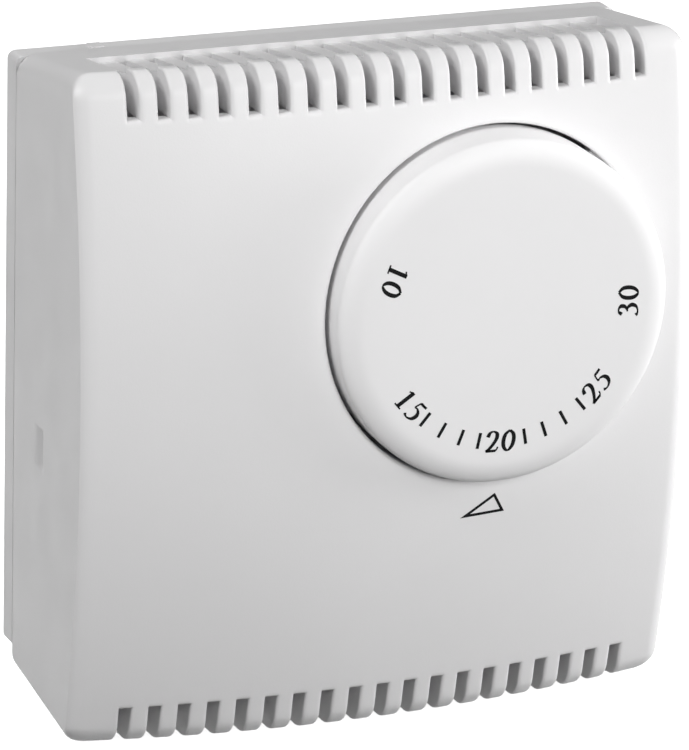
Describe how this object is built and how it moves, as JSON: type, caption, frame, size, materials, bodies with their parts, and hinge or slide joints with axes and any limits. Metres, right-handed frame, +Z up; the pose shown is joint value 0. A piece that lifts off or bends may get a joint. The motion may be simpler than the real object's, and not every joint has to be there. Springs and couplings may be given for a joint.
{
  "type": "wall thermostat",
  "caption": "Surface-mounted room thermostat: pillowed white cover with vent slots top and bottom and a round setting dial, clipped over a base with capsule, lever, switch and terminals.",
  "frame": {"origin": "on the wall plane behind the middle of the cover, at the centre of the two wall-screw slots", "axes": "+X to the right seen from the front, +Y into the wall, +Z up; the dial faces -Y"},
  "size_m": [0.0744, 0.0323, 0.08],
  "materials": {
    "white_case": "satin moulded ABS",
    "base_white": "satin moulded ABS",
    "dial_white": "satin moulded ABS",
    "black_plastic": "moulded phenolic",
    "ivory_plastic": "moulded",
    "grey_plastic": "moulded",
    "zinc_steel": "zinc plated sheet",
    "spring_steel": "drawn wire",
    "brass": "turned",
    "copper_alloy": "pressed bronze sheet",
    "contact_silver": "silver contact",
    "resistor_body": "lacquered"
  },
  "bodies": {
    "base": {"base_plate": "base_white", "mechanism_bracket": "zinc_steel", "bracket_screws": "zinc_steel", "spindle_bush": "brass", "range_spring": "spring_steel", "lever_pivot_pin": "zinc_steel", "capsule_rear_shell": "copper_alloy", "capsule_front_shell": "copper_alloy", "capsule_seal_tube": "copper_alloy", "switch_case": "black_plastic", "switch_lid": "grey_plastic", "fixed_contacts": "contact_silver", "bus_bars": "brass", "terminal_block": "ivory_plastic", "terminal_clamps": "brass", "terminal_screws": "zinc_steel", "block_screws": "zinc_steel", "anticipator_resistor": "resistor_body", "resistor_leads": "zinc_steel"},
    "cover": {"front_cover": "white_case"},
    "dial": {"dial": "dial_white", "dial_retaining_ring": "spring_steel"},
    "spindle": {"setting_spindle": "ivory_plastic"},
    "seat": {"spring_seat": "brass"},
    "lever": {"sensing_lever": "zinc_steel"},
    "calibrator": {"calibration_screw": "brass"},
    "plunger": {"switch_plunger": "ivory_plastic"},
    "blade": {"snap_blade": "brass", "moving_contact": "contact_silver"}
  },
  "joints": [
    {"name": "cover_lift", "type": "slide", "parent": "base", "child": "cover", "axis": [0, -1, 0], "range_m": [0, 0.045]},
    {"name": "dial_turn", "type": "hinge", "parent": "cover", "child": "dial", "pos_m": [0.0113, -0.028, 0.0108], "axis": [0, -1, 0], "range_deg": [-90.7, 111]},
    {"name": "spindle_turn", "type": "hinge", "parent": "base", "child": "spindle", "pos_m": [0.0113, -0.021, 0.0108], "axis": [0, -1, 0], "range_deg": [-92, 112]},
    {"name": "seat_travel", "type": "slide", "parent": "base", "child": "seat", "axis": [0, -1, 0], "range_m": [-0.00078, 0.00095], "deforming": ["range_spring"]},
    {"name": "lever_rock", "type": "hinge", "parent": "base", "child": "lever", "pos_m": [-0.009, -0.012, 0.0108], "axis": [0, 0, 1], "range_deg": [-1.2, 1.2], "stiffness_Nm_per_rad": 0.05, "deforming": ["capsule_front_shell", "range_spring"]},
    {"name": "plunger_travel", "type": "slide", "parent": "base", "child": "plunger", "axis": [0, -1, 0], "range_m": [-0.0004, 0.0004]},
    {"name": "blade_bend", "type": "hinge", "parent": "base", "child": "blade", "pos_m": [-0.0319, -0.00655, 0.0108], "axis": [0, 0, 1], "range_deg": [-3, 3]},
    {"name": "calibration_turn", "type": "hinge", "parent": "lever", "child": "calibrator", "pos_m": [-0.025, -0.012, 0.0108], "axis": [0, -1, 0], "range_deg": [-180, 180]}
  ],
  "couplings": [
    {"joint": "spindle_turn", "follows": "dial_turn", "ratio": 1},
    {"joint": "seat_travel", "follows": "dial_turn", "m_per_rad": 0.00047746},
    {"joint": "plunger_travel", "follows": "lever_rock", "m_per_rad": 0.016},
    {"joint": "blade_bend", "follows": "lever_rock", "ratio": -2.319}
  ]
}
